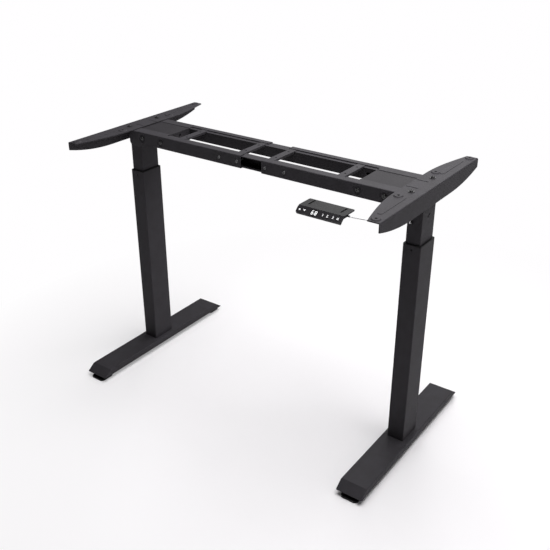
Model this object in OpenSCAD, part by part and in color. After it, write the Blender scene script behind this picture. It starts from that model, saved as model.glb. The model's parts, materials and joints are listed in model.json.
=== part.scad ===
// Height-adjustable desk frame: two telescopic lifting columns on feet, joined by a
// telescopic crossbar, with two side brackets that carry the desktop and a keypad
// handset on its cable. X runs along the crossbar, -Y is the user's side, Z is up,
// and the origin is on the floor midway between the two columns.

/* [Crossbar] */
// Distance between the centres of the two columns
column_spacing = 950; // [900:5:1100]
// Height of the crossbar's side rails
crossbar_height = 37; // [34:0.5:44]
// Width of the crossbar from front to back
crossbar_width = 152; // [148:1:160]
// Sheet thickness of the outer rails
rail_sheet = 2.5; // [2:0.1:3]
// Reach of the outer rails' folded lips
rail_lip = 20; // [16:0.5:22]
// Gap between the ends of the left and right outer rails
rail_gap = 71; // [70:1:90]
// Length of the closed head end, from the end wall to the column's centre
head_reach = 153; // [146:1:158]
// Sheet thickness of the middle frame
ladder_sheet = 2; // [1.6:0.1:2.4]
// Half width of the windows between the middle frame's webs
window_half = 43.3; // [42.8:0.1:44]
// Width of each rung of the middle frame
rung_width = 22; // [18:0.5:25]
// Length of the window between the two middle rungs
middle_window = 80; // [76:1:90]
// Length of the window between an outer rung and the end wall
end_window = 42; // [38:1:46]
// Length of middle frame hidden inside each head
ladder_hidden = 78; // [70:1:80]
// How far each side can be pushed in from here
width_travel_in = 33; // [25:1:34]

/* [Columns] */
// Width of the outer tube along the crossbar
outer_width = 50; // [49:0.5:54]
// Depth of the outer tube from front to back
outer_depth = 80; // [78:0.5:84]
// Wall of the outer tube
outer_wall = 2; // [1.6:0.1:2.4]
// Length of the outer tube
outer_length = 603; // [560:1:640]
// Length of inner tube seen between the outer tube and the crossbar
inner_showing = 109; // [105:1:200]
// Width of the inner tube along the crossbar
inner_width = 41; // [40.5:0.1:41.4]
// Depth of the inner tube from front to back
inner_depth = 72; // [70:0.5:72.5]
// Wall of the inner tube
inner_wall = 1.8; // [1.5:0.1:2]
// Corner radius of the outer tube
tube_radius = 2.6; // [2.5:0.1:5]
// Depth of the plastic guide collar inside the outer tube
collar_depth = 30; // [20:1:40]
// Thickness of the collar's rim on top of the outer tube
collar_rim = 2.5; // [2:0.1:4]
// Diameter of the lifting spindle
spindle_d = 14; // [12:0.5:16]
// Outer diameter of the nut tube
nut_tube_d = 24; // [22:0.5:28]
// Length of the spindle nut
nut_length = 30; // [24:1:36]
// Diameter of the gear motor
motor_d = 35; // [30:0.5:35.5]
// Length of the motor
motor_length = 58; // [50:1:62]
// Length of the gearbox
gearbox_length = 45; // [38:1:50]

/* [Feet] */
// Length of a foot from front to back
foot_length = 594; // [560:2:640]
// Width of a foot
foot_width = 78; // [76:1:88]
// Height of a foot's top above the floor
foot_height = 36; // [34:0.5:40]
// Depth of a foot's side walls
foot_skirt = 20; // [18:0.5:22]
// Length of the sloping end of a foot
foot_slope = 29; // [24:1:34]
// Sheet thickness of a foot
foot_sheet = 2.5; // [2:0.1:3]
// Side of a levelling pad
pad_side = 52; // [46:1:54]
// Thickness of a levelling pad's rim
pad_rim = 4.5; // [3.5:0.5:5]
// Diameter of a levelling stem
stem_d = 8; // [6:0.5:10]

/* [Side brackets] */
// Length of a side bracket
bracket_length = 543; // [520:1:580]
// Sheet thickness of a side bracket
bracket_sheet = 3; // [2.5:0.1:3.5]
// Distance from a column's centre to the bracket's outer face
bracket_out = 27.5; // [27:0.5:32]
// Reach of the bracket's plate inwards at its ends
bracket_end_in = 5; // [3:0.5:6]
// Reach of the bracket's plate inwards in the middle
bracket_mid_in = 36; // [33:0.5:40]
// Depth of the bracket's outer flange in the middle
flange_depth = 47; // [42:0.5:49]
// Depth of the bracket's outer flange at its ends
flange_end_depth = 24; // [20:0.5:28]
// Height of the pressed bosses that carry the desktop
boss_height = 2.5; // [2:0.5:3]
// Diameter of a pressed boss at its foot
boss_d = 25; // [24:0.5:26]
// Diameter of the desktop screw holes
desk_hole_d = 7; // [6:0.5:8]
// Distance of the outer desktop holes from the bracket's ends
desk_hole_end = 15.5; // [15:0.5:24]
// Distance of the inner desktop holes from the middle
desk_hole_inner = 101.5; // [98:0.5:110]

/* [Handset] */
// Width of the handset along the crossbar
handset_width = 122; // [118:1:130]
// Depth of the handset's mounting plate
handset_plate_depth = 49; // [46:1:52]
// Distance from the middle to the handset's centre
handset_x = 357; // [340:1:360]
// Distance of the handset's front top edge in front of the middle
handset_front = 283.6; // [282:0.1:284]
// Thickness of the handset's mounting plate
handset_plate = 2.8; // [2:0.1:3.4]
// Height of the sloping face
face_height = 19.4; // [19:0.1:19.6]
// Slope of the face from level
face_angle = 44; // [43:1:46]
// Diameter of a button
button_d = 8.6; // [7.6:0.1:9]
// Travel of a button
button_travel = 0.5; // [0.3:0.1:0.6]
// Diameter of the handset's cable
cable_d = 3; // [2.6:0.1:3.2]

/* [Hidden] */

$fn = 40;
black_coat = "#2b2a2c";
dark_plastic = "#1c1b1d";
zinc = "#9a9a9c";
steel = "#7c7d80";
lens_black = "#101012";
cable_grey = "#c9c9c6";

// One overrun for every cut, and the clearances that the fits share
over = 1;
skim = 0.1;
slide_gap = 0.2;
seat_gap = 0.1;
spindle_gap = 0.05;

// Heights, from the floor up
outer_top = foot_height + outer_length;
crossbar_bottom = outer_top + inner_showing;
crossbar_top = crossbar_bottom + crossbar_height;
crossbar_mid = crossbar_top - crossbar_height / 2;
bracket_top = crossbar_top + bracket_sheet;

// Places along the crossbar, measured from the middle
column_x = column_spacing / 2;
head_start = column_x - head_reach;
rail_start = rail_gap / 2;
half_width = crossbar_width / 2;
web_inside = half_width - rail_sheet;

// Column details
tube_inside_w = outer_width - 2 * outer_wall;
tube_inside_d = outer_depth - 2 * outer_wall;
base_plate_t = 6;
base_hole_x = 15;
base_hole_y = 28;
inner_bottom_gap = 79;
inner_bottom = foot_height + inner_bottom_gap;
inner_top = crossbar_bottom;
inner_radius = tube_radius - 2 * slide_gap;
peg_d = 5.4;
peg_hole_d = 6;
peg_below_top = 11.5;
nut_below_top = 69;
nut_top = outer_top - nut_below_top;
nut_bottom = nut_top - nut_length;
nut_d = 30;
nut_spigot = 10;
nut_tube_wall = 3;
motor_top_gap = 7;
motor_cap_share = 0.17;
motor_cap_d_share = 0.8;
cable_way_share = 0.6;
motor_top = crossbar_bottom - motor_top_gap;
gearbox_top = motor_top - motor_length;
gearbox_bottom = gearbox_top - gearbox_length;
gearbox_flange_t = 4;
journal_d = 10;
journal_length = 22;
spindle_above_end = 15;
shoe_height = 35;
shoe_lip = 2;
slot_below_bar = 34.5;
slot_length = 15.8;
slot_width = 5;
slot_tilt = 30;
cable_hole_in = 9;
cable_hole_below = 50;
grommet_hole_d = 8;

// Head details
head_plate_t = 4;
cheek_t = 2.5;
cheek_gap = 0.3;
cheek_out = window_half - cheek_gap;
head_outboard = 22;
plate_recess = 1;
plate_t = 2.5;
end_wall_t = 2;
end_wall_gap = 2;
wall_hole_d = 8;
wall_hole_below = 12;
bolt_near = 10;
bolt_far = 84;
bolt_shank_d = 6;
bolt_head_d = 12;
bolt_head_h = 3.5;
bolt_nut_d = 11;
bolt_nut_h = 4;
dimple_rim_d = 28;
dimple_floor_d = 21;
dimple_back_d = 24;
dimple_depth = 2.5;
web_outboard = 18;
lobe_drop = 8.5;
lobe_radius = 12;
left_lobe_run = 49;
left_lobe_flat = 33;
right_lobe_run = 27;
right_lobe_flat = 15;
tab_hole_d = 4;
tab_hole_in = 6;
lock_near = 12.5;
lock_far = 74.5;
lock_shank_d = 5.6;
lock_hole_d = 6;
lock_head_d = 9;
lock_head_h = 3;
lock_tip_gap = 0.3;
bracket_screw_in = 4.8;
bracket_screw_y = 59;
bracket_screw_d = 5.8;
bracket_hole_d = 6.4;
washer_d = 16;
washer_t = 1.5;
screw_head_d = 10;
screw_head_h = 3.5;
rivet_nut_d = 11;
rivet_nut_h = 9;
bend_r = 2.5;

// Middle frame details
ladder_out = web_inside - 1;
ladder_gap = slide_gap;
ladder_top = crossbar_top - rail_sheet - ladder_gap;
ladder_bottom = crossbar_bottom + rail_sheet + ladder_gap;
ladder_end = head_start + ladder_hidden;
rung_inner_x = middle_window / 2 + rung_width / 2;
rung_outer_x = head_start - end_window - rung_width / 2;
rung_lap = 10.5;
rung_fold = 4;
rung_hole_d = 6;
rung_hole_y = 30;
bolt_slot_h = 8.5;
bolt_slot_margin = 5;

// Foot details
slope_drop = foot_skirt + 1 * plate_recess;
foot_corner_r = 5;
foot_bend_r = 2;
stiffener_t = 4;
stiffener_half_x = 34;
stiffener_half_y = 60;
stem_top_share = 0.36;
foot_screw_d = 6.6;
foot_screw_hole_d = 7.4;
base_thread_d = 6.8;
foot_screw_head_d = 14;
foot_screw_head_h = 4;
leveller_inset = 25;
pad_corner_r = 12;
hub_bottom_d = 26;
hub_top_d = 15;
hub_height = 10.3;
weld_nut_d = 18;

// Side bracket details
bracket_bend_r = 3.5;
flat_mid_half = 85;
edge_steps = 10;
flange_flat_half = 110;
flange_arc_steps = 8;
boss_top_d = 20;
boss_wall = 2;
desk_hole_outer_out = 8.5;
desk_hole_inner_in = 17;
bead_height = 0.8;
bead_width = 13;
bead_start_back = 1.5;
bead_end_gap = 30;
bead_from = desk_hole_inner - bead_start_back;
bead_to = bracket_length / 2 - desk_hole_end - bead_end_gap;
bead_in = 1;
rib_width = 3.6;
rib_length = 32;
rib_y = 28;
rib_in = 18;

// Handset details
handset_top = bracket_top;
handset_slot_x = 43.2;
handset_slot_len = 30;
handset_slot_w = 4.5;
handset_slot_back = 30.3;
slot_rim_wall = 1.6;
slot_rim_depth = 2.6;
handset_body_in = 2;
handset_body_depth = 22;
handset_body_under = 5;
handset_body_drop = handset_plate + handset_body_under;
handset_slab = 7.2;
face_ledge = 1.2;
handset_wall = 1.8;
face_t = 1.6;
face_margin = 0.6;
face_corner_r = 4;
window_w = 18;
window_h = 12;
lens_t = 1.2;
display_x = -13.2;
button_x = [-52, -39, 10.4, 22.6, 37, 49.7];
button_names = ["button_up", "button_down", "button_1", "button_2", "button_3", "button_memory"];
button_rise = 0.7;
button_flange_d = 9.8;
button_flange_t = 1;
board_t = 1.6;
board_margin = 5;
board_height = 12;
relief_length = 7;
relief_base_d = handset_body_under - slide_gap;
relief_tip_d = 4.2;
relief_groove_share = 0.08;
relief_back = 18.6;
relief_below = handset_plate + relief_base_d / 2 + slide_gap;

// Control box details
box_length = 104;
box_half_y = 34;
box_height = 22;
box_gap = 12;
box_corner_r = 4;

// Cable route from the strain relief to the hole in the column's front, with each
// point given from the right column's centre, the middle and the crossbar's top
cable_sides = 8;
cable_steps = 2;
cable_route = [
    [-56, -265, -2.4], [-46, -265, -2.4], [-38, -264.4, -2.4], [-29, -262.8, -2.4],
    [-20, -260.8, -2.6], [-11, -258, -3], [-3, -253.6, -3.8], [3, -247, -4.8],
    [7, -238.6, -5.8], [9, -229, -6.5], [10, -217, -7], [10, -204, -7], [10, -186, -7],
    [10, -168, -7], [10, -150, -7], [10, -134, -8], [9.5, -118, -12], [8.5, -104, -19],
    [7, -91, -29], [4.5, -79, -41], [1.5, -68, -54], [-2, -58.5, -67], [-5.5, -51, -78],
    [-8, -45.5, -84.5], [-9, -40, -87], [-9, -33, -87]];
clip_y = [cable_route[11][1], cable_route[14][1]];
clip_length = 10;
clip_width = 14;
clip_below = 3;
clip_bore_gap = 0.25;

// Rectangle with round corners, centred
module rounded_rect(w, d, r) {
    square([w - 2 * r, d], center = true);
    square([w, d - 2 * r], center = true);
    for (sx = [-1, 1], sy = [-1, 1])
        translate([sx * (w / 2 - r), sy * (d / 2 - r)]) circle(r = r);
}

// Straight slot with round ends, lying along X
module slot_2d(length, width) {
    square([length - width, width], center = true);
    for (s = [-1, 1]) translate([s * (length - width) / 2, 0]) circle(d = width);
}

// Places a part of the right side, or its mirror image on the left
module on_side(side) {
    if (side < 0) mirror([1, 0, 0]) children();
    else children();
}

// Turns a drawing of Y against Z into a body along X, from x0 over a length
module along_x(x0, length) {
    translate([x0, 0, 0]) rotate([90, 0, 90]) linear_extrude(length) children();
}

// Turns a drawing of X against Z into a body along Y, from y0 over a length
module along_y(y0, length) {
    translate([0, y0 + length, 0]) rotate([90, 0, 0]) linear_extrude(length) children();
}

// Screw along Z with its head's underside at zero and its shank below
module screw(head_d, head_h, shank_d, length) {
    cylinder(d = head_d, h = head_h);
    translate([0, 0, -length]) cylinder(d = shank_d, h = length + over / 2);
}

// Side view of a foot's sheet, drawn in Y against Z, inset by a thickness
module foot_side(inset) {
    half = foot_length / 2 - inset;
    polygon([[-half, foot_height - slope_drop - over * sign(inset)],
        [-(half - foot_slope), foot_height - inset],
        [half - foot_slope, foot_height - inset],
        [half, foot_height - slope_drop - over * sign(inset)]]);
}

// Solid bounded by a foot's sheet, inset by a thickness
module foot_form(inset) {
    w = foot_width - 2 * inset;
    d = foot_length - 2 * inset;
    bottom = foot_height - foot_skirt - (inset > 0 ? over : 0);
    intersection() {
        along_x(-w / 2, w) foot_side(inset);
        translate([0, 0, bottom]) linear_extrude(foot_height)
            rounded_rect(w, d, foot_corner_r - inset);
        along_y(-d / 2, d) translate([0, foot_height - inset - foot_skirt])
            rounded_rect(w, 2 * foot_skirt, foot_bend_r - inset / 2);
    }
}

module foot() {
    color(black_coat) difference() {
        union() {
            difference() {
                foot_form(0);
                foot_form(foot_sheet);
            }
            translate([-stiffener_half_x, -stiffener_half_y, foot_height - foot_sheet - stiffener_t])
                cube([2 * stiffener_half_x, 2 * stiffener_half_y, stiffener_t + foot_sheet / 2]);
            intersection() {
                foot_form(foot_sheet / 2);
                for (s = [-1, 1]) translate([0, s * leveller_y, leveller_seat])
                    cylinder(d = weld_nut_d, h = foot_height);
            }
        }
        for (sx = [-1, 1], sy = [-1, 1])
            translate([sx * base_hole_x, sy * base_hole_y, foot_height - foot_sheet - stiffener_t - over])
                cylinder(d = foot_screw_hole_d, h = foot_sheet + stiffener_t + 2 * over);
        for (s = [-1, 1]) translate([0, s * leveller_y, leveller_seat - over])
            cylinder(d = stem_d + 2 * spindle_gap, h = stem_top + 2 * over - leveller_seat);
    }
}
leveller_y = foot_length / 2 - leveller_inset;
leveller_seat = pad_rim + hub_height + 2 * seat_gap;
stem_top = foot_height - foot_slope * stem_top_share;

module foot_screws() {
    color(zinc) for (sx = [-1, 1], sy = [-1, 1])
        translate([sx * base_hole_x, sy * base_hole_y, foot_height - foot_sheet - stiffener_t - seat_gap])
            mirror([0, 0, 1])
                screw(foot_screw_head_d, foot_screw_head_h, foot_screw_d,
                    foot_sheet + stiffener_t + base_plate_t - seat_gap);
}

// Square levelling pad with a tapered hub and a threaded stem
module leveller() {
    color(dark_plastic) {
        linear_extrude(pad_rim) rounded_rect(pad_side, pad_side, pad_corner_r);
        translate([0, 0, pad_rim - over / 2]) cylinder(d = hub_bottom_d, h = over);
        translate([0, 0, pad_rim]) cylinder(d1 = hub_bottom_d, d2 = hub_top_d, h = hub_height);
        translate([0, 0, pad_rim])
            cylinder(d = stem_d, h = stem_top - pad_rim);
    }
}

module outer_tube() {
    color(black_coat) difference() {
        translate([0, 0, foot_height]) linear_extrude(outer_length)
            rounded_rect(outer_width, outer_depth, tube_radius);
        translate([0, 0, foot_height + base_plate_t]) linear_extrude(outer_length)
            rounded_rect(tube_inside_w, tube_inside_d, tube_radius - outer_wall);
        for (sx = [-1, 1], sy = [-1, 1])
            translate([sx * base_hole_x, sy * base_hole_y, foot_height - over])
                cylinder(d = base_thread_d, h = base_plate_t + 2 * over);
        translate([0, -outer_depth / 2 - over, outer_top - peg_below_top]) rotate([-90, 0, 0])
            cylinder(d = peg_hole_d, h = outer_wall + 2 * over);
    }
}

// Guide collar in the mouth of the outer tube, with the peg that snaps into its front
module collar() {
    sleeve_w = tube_inside_w - 2 * seat_gap;
    sleeve_d = tube_inside_d - 2 * seat_gap;
    color(dark_plastic) difference() {
        union() {
            translate([0, 0, outer_top - collar_depth]) linear_extrude(collar_depth + collar_rim)
                rounded_rect(sleeve_w, sleeve_d, tube_radius - outer_wall);
            translate([0, 0, outer_top]) linear_extrude(collar_rim)
                rounded_rect(outer_width - 2 * seat_gap, outer_depth - 2 * seat_gap, tube_radius);
            translate([0, -outer_depth / 2 + outer_wall / 2, outer_top - peg_below_top])
                rotate([-90, 0, 0]) cylinder(d = peg_d, h = outer_wall + over);
        }
        translate([0, 0, outer_top - collar_depth - over])
            linear_extrude(collar_depth + collar_rim + 2 * over)
                rounded_rect(inner_width + 2 * slide_gap, inner_depth + 2 * slide_gap, inner_radius);
    }
}

module nut_tube() {
    z0 = foot_height + base_plate_t;
    color(steel) translate([0, 0, z0]) difference() {
        cylinder(d = nut_tube_d, h = nut_bottom - z0);
        translate([0, 0, -over])
            cylinder(d = nut_tube_d - 2 * nut_tube_wall, h = nut_bottom - z0 + 2 * over);
    }
}

module spindle_nut() {
    color("#e4e2da") difference() {
        union() {
            translate([0, 0, nut_bottom]) cylinder(d = nut_d, h = nut_length);
            translate([0, 0, nut_bottom - nut_spigot])
                cylinder(d = nut_tube_d - 2 * nut_tube_wall - 2 * seat_gap, h = nut_spigot + over);
        }
        translate([0, 0, nut_bottom - nut_spigot - over])
            cylinder(d = spindle_d + 2 * spindle_gap, h = nut_length + nut_spigot + 2 * over);
    }
}

// Inner tube with the slanted slot in its outer face, and on one column a cable hole
module inner_tube(with_cable_hole) {
    length = inner_top - inner_bottom;
    color(black_coat) difference() {
        translate([0, 0, inner_bottom]) linear_extrude(length)
            rounded_rect(inner_width, inner_depth, inner_radius);
        translate([0, 0, inner_bottom - over]) linear_extrude(length + 2 * over)
            rounded_rect(inner_width - 2 * inner_wall, inner_depth - 2 * inner_wall,
                inner_radius - inner_wall);
        translate([0, 0, crossbar_bottom - slot_below_bar])
            along_x(inner_width / 2 - inner_wall - over, inner_wall + 2 * over)
                rotate(slot_tilt) slot_2d(slot_length, slot_width);
        if (with_cable_hole)
            translate([-cable_hole_in, -inner_depth / 2 - over, crossbar_bottom - cable_hole_below])
                rotate([-90, 0, 0]) cylinder(d = grommet_hole_d, h = inner_wall + 2 * over);
    }
}

// Plastic glide shoe round the foot of the inner tube
module glide_shoe() {
    color("#d8d6cf") difference() {
        translate([0, 0, inner_bottom - shoe_lip - seat_gap]) linear_extrude(shoe_height + shoe_lip)
            rounded_rect(tube_inside_w - 2 * slide_gap, tube_inside_d - 2 * slide_gap,
                tube_radius - outer_wall);
        translate([0, 0, inner_bottom - seat_gap]) linear_extrude(shoe_height + over)
            rounded_rect(inner_width + 2 * seat_gap, inner_depth + 2 * seat_gap, inner_radius);
        translate([0, 0, inner_bottom - shoe_lip - over]) linear_extrude(shoe_height)
            rounded_rect(inner_width - 4 * inner_wall, inner_depth - 4 * inner_wall, inner_radius);
    }
}

module spindle() {
    z0 = inner_bottom + spindle_above_end;
    z1 = gearbox_bottom - gearbox_flange_t - slide_gap;
    color(steel) {
        translate([0, 0, z0]) cylinder(d = spindle_d, h = z1 - z0);
        translate([0, 0, z1 - over]) cylinder(d = journal_d, h = journal_length + over);
    }
}

// Planetary gearbox on the carrier flange that fills the inner tube
module gearbox() {
    color(steel) difference() {
        union() {
            translate([0, 0, gearbox_bottom]) cylinder(d = motor_d, h = gearbox_length);
            translate([0, 0, gearbox_bottom - gearbox_flange_t]) linear_extrude(gearbox_flange_t)
                rounded_rect(inner_width - 2 * inner_wall - 2 * seat_gap,
                    inner_depth - 2 * inner_wall - 2 * seat_gap, inner_radius - inner_wall);
        }
        translate([0, 0, gearbox_bottom - gearbox_flange_t - over])
            cylinder(d = journal_d + 2 * spindle_gap, h = journal_length + over + slide_gap);
    }
}

module motor() {
    cap = motor_length * motor_cap_share;
    color("#3b3b3f") translate([0, 0, gearbox_top]) {
        cylinder(d = motor_d - seat_gap, h = motor_length - cap);
        translate([0, 0, motor_length - cap - over / 2]) cylinder(d = motor_d * motor_cap_d_share,
            h = cap + over / 2);
    }
}

// Saddle on top of the column: a base plate between two upright cheeks
module column_head() {
    x0 = -head_reach + end_wall_t + end_wall_gap;
    length = head_outboard - x0;
    top = crossbar_top - plate_recess - plate_t;
    color(black_coat) difference() {
        translate([x0, -cheek_out, crossbar_bottom]) difference() {
            cube([length, 2 * cheek_out, top - crossbar_bottom]);
            translate([-over, cheek_t, head_plate_t])
                cube([length + 2 * over, 2 * (cheek_out - cheek_t), crossbar_height]);
        }
        translate([0, 0, crossbar_bottom - over])
            cylinder(d = motor_d * cable_way_share, h = head_plate_t + 2 * over);
        for (x = [bolt_near, bolt_far])
            translate([x - head_reach, -cheek_out - over, crossbar_mid]) rotate([-90, 0, 0])
                cylinder(d = bolt_shank_d + 2 * seat_gap, h = 2 * (cheek_out + over));
    }
}

// Folded section of an outer rail in Y against Z, with or without its bottom lip
module rail_section(bottom, lip_below) {
    height = crossbar_top - bottom;
    difference() {
        translate([half_width - rail_lip, bottom]) union() {
            square([rail_lip - bend_r, height]);
            translate([0, bend_r]) square([rail_lip, height - 2 * bend_r]);
            for (z = [bend_r, height - bend_r])
                translate([rail_lip - bend_r, z]) circle(r = bend_r);
        }
        translate([half_width - rail_lip - over, lip_below ? bottom + rail_sheet : bottom - over])
            square([rail_lip - rail_sheet + over,
                height - (lip_below ? 2 * rail_sheet : rail_sheet - over)]);
    }
}

// Side view of the web beside the column, in X against Z: it dips below the rail
module web_outline(lobe_run, lobe_flat) {
    x_end = column_x - web_outboard;
    x_flat = x_end - lobe_radius;
    x_dip = x_flat - lobe_flat;
    low = crossbar_bottom - lobe_drop;
    polygon([[x_dip - lobe_run, crossbar_top + over], [x_dip - lobe_run, crossbar_bottom],
        [x_dip, low], [x_flat, low], [x_flat, low + lobe_radius], [x_end, low + lobe_radius],
        [x_end, crossbar_top + over]]);
    translate([x_flat, low + lobe_radius]) circle(r = lobe_radius);
}

// Outer rail at the back of the right side: folded channel, dipped web by the column,
// and a wide top strip over the head
module outer_rail(lobe_run, lobe_flat) {
    x_end = column_x - web_outboard;
    x_fold = x_end - lobe_radius - lobe_flat - lobe_run;
    low = crossbar_bottom - lobe_drop;
    flange_end = column_x + head_outboard;
    color(black_coat) difference() {
        union() {
            along_x(rail_start, x_fold - rail_start + over / 4) rail_section(crossbar_bottom, true);
            intersection() {
                along_x(x_fold, x_end - x_fold) rail_section(low - over, false);
                along_y(0, half_width + over) web_outline(lobe_run, lobe_flat);
            }
            translate([head_start, window_half, crossbar_top - rail_sheet])
                cube([flange_end - head_start, half_width - bend_r - window_half, rail_sheet]);
            for (x = [bolt_near, bolt_far])
                translate([head_start + x, half_width - rail_sheet - dimple_depth, crossbar_mid])
                    rotate([-90, 0, 0]) cylinder(d = dimple_back_d, h = rail_sheet);
            translate([column_x - bracket_screw_in, bracket_screw_y, crossbar_top - rail_sheet - rivet_nut_h])
                cylinder(d = rivet_nut_d, h = rivet_nut_h + over);
        }
        for (x = [bolt_near, bolt_far])
            translate([head_start + x, half_width - dimple_depth, crossbar_mid]) rotate([-90, 0, 0]) {
                cylinder(d1 = dimple_floor_d, d2 = dimple_rim_d, h = dimple_depth);
                translate([0, 0, dimple_depth - skim]) cylinder(d = dimple_rim_d, h = over);
                translate([0, 0, -dimple_depth - rail_sheet])
                    cylinder(d = bolt_shank_d + 2 * seat_gap, h = dimple_depth + rail_sheet + over);
            }
        for (x = [lock_near, lock_far])
            translate([rail_start + x, web_inside - over, crossbar_mid]) rotate([-90, 0, 0])
                cylinder(d = lock_hole_d, h = rail_sheet + 2 * over);
        translate([x_fold + lobe_run - tab_hole_in, web_inside - over, crossbar_bottom - lobe_drop / 2])
            rotate([-90, 0, 0]) cylinder(d = tab_hole_d, h = rail_sheet + 2 * over);
        translate([column_x - bracket_screw_in, bracket_screw_y, crossbar_top - rail_sheet - rivet_nut_h - over])
            cylinder(d = bracket_hole_d, h = rivet_nut_h + rail_sheet + 3 * over);
        translate([head_start - over, 0, crossbar_top])
            cube([flange_end, crossbar_width, crossbar_height]);
    }
}

// Top plate between the two rails, folded down into the end wall
module top_plate() {
    z1 = crossbar_top - plate_recess;
    length = head_reach + head_outboard;
    color("#29282a") difference() {
        translate([-head_reach, -cheek_out, 0]) union() {
            translate([0, 0, z1 - plate_t]) cube([length, 2 * cheek_out, plate_t]);
            translate([0, 0, crossbar_bottom]) cube([end_wall_t, 2 * cheek_out, z1 - crossbar_bottom]);
        }
        translate([-head_reach - over, 0, crossbar_top - wall_hole_below]) rotate([0, 90, 0])
            cylinder(d = wall_hole_d, h = end_wall_t + 2 * over);
    }
}

// Inner edge of the bracket's plate as [x, distance from the middle]: straight in the
// middle, then a quarter wave that narrows the plate towards its ends
bracket_edge = [for (i = [edge_steps:-1:0]) let (t = i / edge_steps)
    [-bracket_end_in - (bracket_mid_in - bracket_end_in) * cos(90 * t),
        flat_mid_half + (bracket_length / 2 - flat_mid_half) * t]];

// Plan of the bracket in X against Y
module bracket_plan() {
    front = [for (p = bracket_edge) [p[0], -p[1]]];
    back = [for (i = [len(bracket_edge) - 1:-1:0]) bracket_edge[i]];
    polygon(concat([[bracket_out + over, -bracket_length / 2]], front, back,
        [[bracket_out + over, bracket_length / 2]]));
}

// Side view of the bracket in Y against Z: a level middle and ends that rise in an arc
module bracket_side() {
    run = bracket_length / 2 - flange_flat_half;
    rise = flange_depth - flange_end_depth;
    radius = (run * run + rise * rise) / (2 * rise);
    arc = [for (i = [0:flange_arc_steps]) let (y = run * i / flange_arc_steps)
        [flange_flat_half + y, bracket_top - flange_depth + radius - sqrt(radius * radius - y * y)]];
    back = [for (i = [flange_arc_steps:-1:0]) [-arc[i][0], arc[i][1]]];
    polygon(concat([[-bracket_length / 2, bracket_top + over]], back, arc,
        [[bracket_length / 2, bracket_top + over]]));
}

// Section of the bracket in X against Z: plate, bend and outer flange
module bracket_section() {
    low = bracket_top - flange_depth - over;
    inside = bracket_out - bracket_sheet;
    difference() {
        union() {
            translate([-bracket_mid_in - over, low])
                square([bracket_mid_in + over + bracket_out - bracket_bend_r, bracket_top - low]);
            translate([-bracket_mid_in - over, low])
                square([bracket_mid_in + over + bracket_out, bracket_top - bracket_bend_r - low]);
            translate([bracket_out - bracket_bend_r, bracket_top - bracket_bend_r])
                circle(r = bracket_bend_r);
        }
        translate([-bracket_mid_in - 2 * over, low - over])
            square([bracket_mid_in + 2 * over + inside, crossbar_top - low + over]);
    }
}

// Desktop screw places on one bracket as [x, y]
desk_holes = [for (s = [-1, 1]) each [[desk_hole_outer_out, s * (bracket_length / 2 - desk_hole_end)],
    [-desk_hole_inner_in, s * desk_hole_inner]]];

module side_bracket() {
    color(black_coat) difference() {
        union() {
            intersection() {
                along_y(-bracket_length / 2, bracket_length) bracket_section();
                linear_extrude(bracket_top + over) bracket_plan();
                along_x(-bracket_mid_in - over, bracket_mid_in + bracket_out + 2 * over) bracket_side();
            }
            for (p = desk_holes) translate([p[0], p[1], bracket_top - over / 2])
                cylinder(d = boss_d, h = over / 2 + skim);
            for (p = desk_holes) translate([p[0], p[1], bracket_top])
                cylinder(d1 = boss_d, d2 = boss_top_d, h = boss_height);
            for (s = [-1, 1]) translate([-bead_in, s * (bead_from + bead_to) / 2, bracket_top - over / 2])
                linear_extrude(bead_height + over / 2) rotate(90)
                    slot_2d(bead_to - bead_from, bead_width);
            for (s = [-1, 1]) translate([-rib_in, s * rib_y, bracket_top - over / 2])
                linear_extrude(bead_height + over / 2) slot_2d(rib_length, rib_width);
        }
        for (p = desk_holes) translate([p[0], p[1], crossbar_top - over]) {
            cylinder(d = desk_hole_d, h = bracket_sheet + boss_height + 2 * over);
            translate([0, 0, over - skim])
                cylinder(d1 = boss_d - 2 * boss_wall, d2 = boss_top_d - 2 * boss_wall, h = boss_height);
        }
        for (s = [-1, 1]) translate([-bracket_screw_in, s * bracket_screw_y, crossbar_top - over])
            cylinder(d = bracket_hole_d, h = bracket_sheet + 2 * over);
    }
}

module bracket_screws() {
    color(dark_plastic) for (s = [-1, 1])
        translate([-bracket_screw_in, s * bracket_screw_y, bracket_top + seat_gap / 2]) {
            cylinder(d = washer_d, h = washer_t);
            translate([0, 0, washer_t]) screw(screw_head_d, screw_head_h, bracket_screw_d,
                washer_t + bracket_sheet + rail_sheet + rivet_nut_h);
        }
}

// Bolts through the dimples, the rails and the saddle's cheeks, with their nuts
module head_bolts() {
    head_at = half_width - dimple_depth;
    nut_at = cheek_out - cheek_t;
    color(dark_plastic) for (x = [bolt_near, bolt_far], s = [-1, 1])
        translate([x - head_reach, 0, crossbar_mid]) rotate([s * -90, 0, 0]) {
            translate([0, 0, head_at + seat_gap / 2])
                screw(bolt_head_d, bolt_head_h, bolt_shank_d,
                    head_at + seat_gap / 2 - nut_at + bolt_nut_h);
            translate([0, 0, nut_at - bolt_nut_h - seat_gap / 2]) cylinder(d = bolt_nut_d, h = bolt_nut_h);
        }
}

module lock_screws() {
    tip = window_half + ladder_sheet + lock_tip_gap;
    color(dark_plastic) for (x = [lock_near, lock_far], s = [-1, 1])
        translate([rail_start + x, 0, crossbar_mid]) rotate([s * -90, 0, 0])
            translate([0, 0, half_width + seat_gap / 2])
                screw(lock_head_d, lock_head_h, lock_shank_d, half_width + seat_gap / 2 - tip);
}

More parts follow.
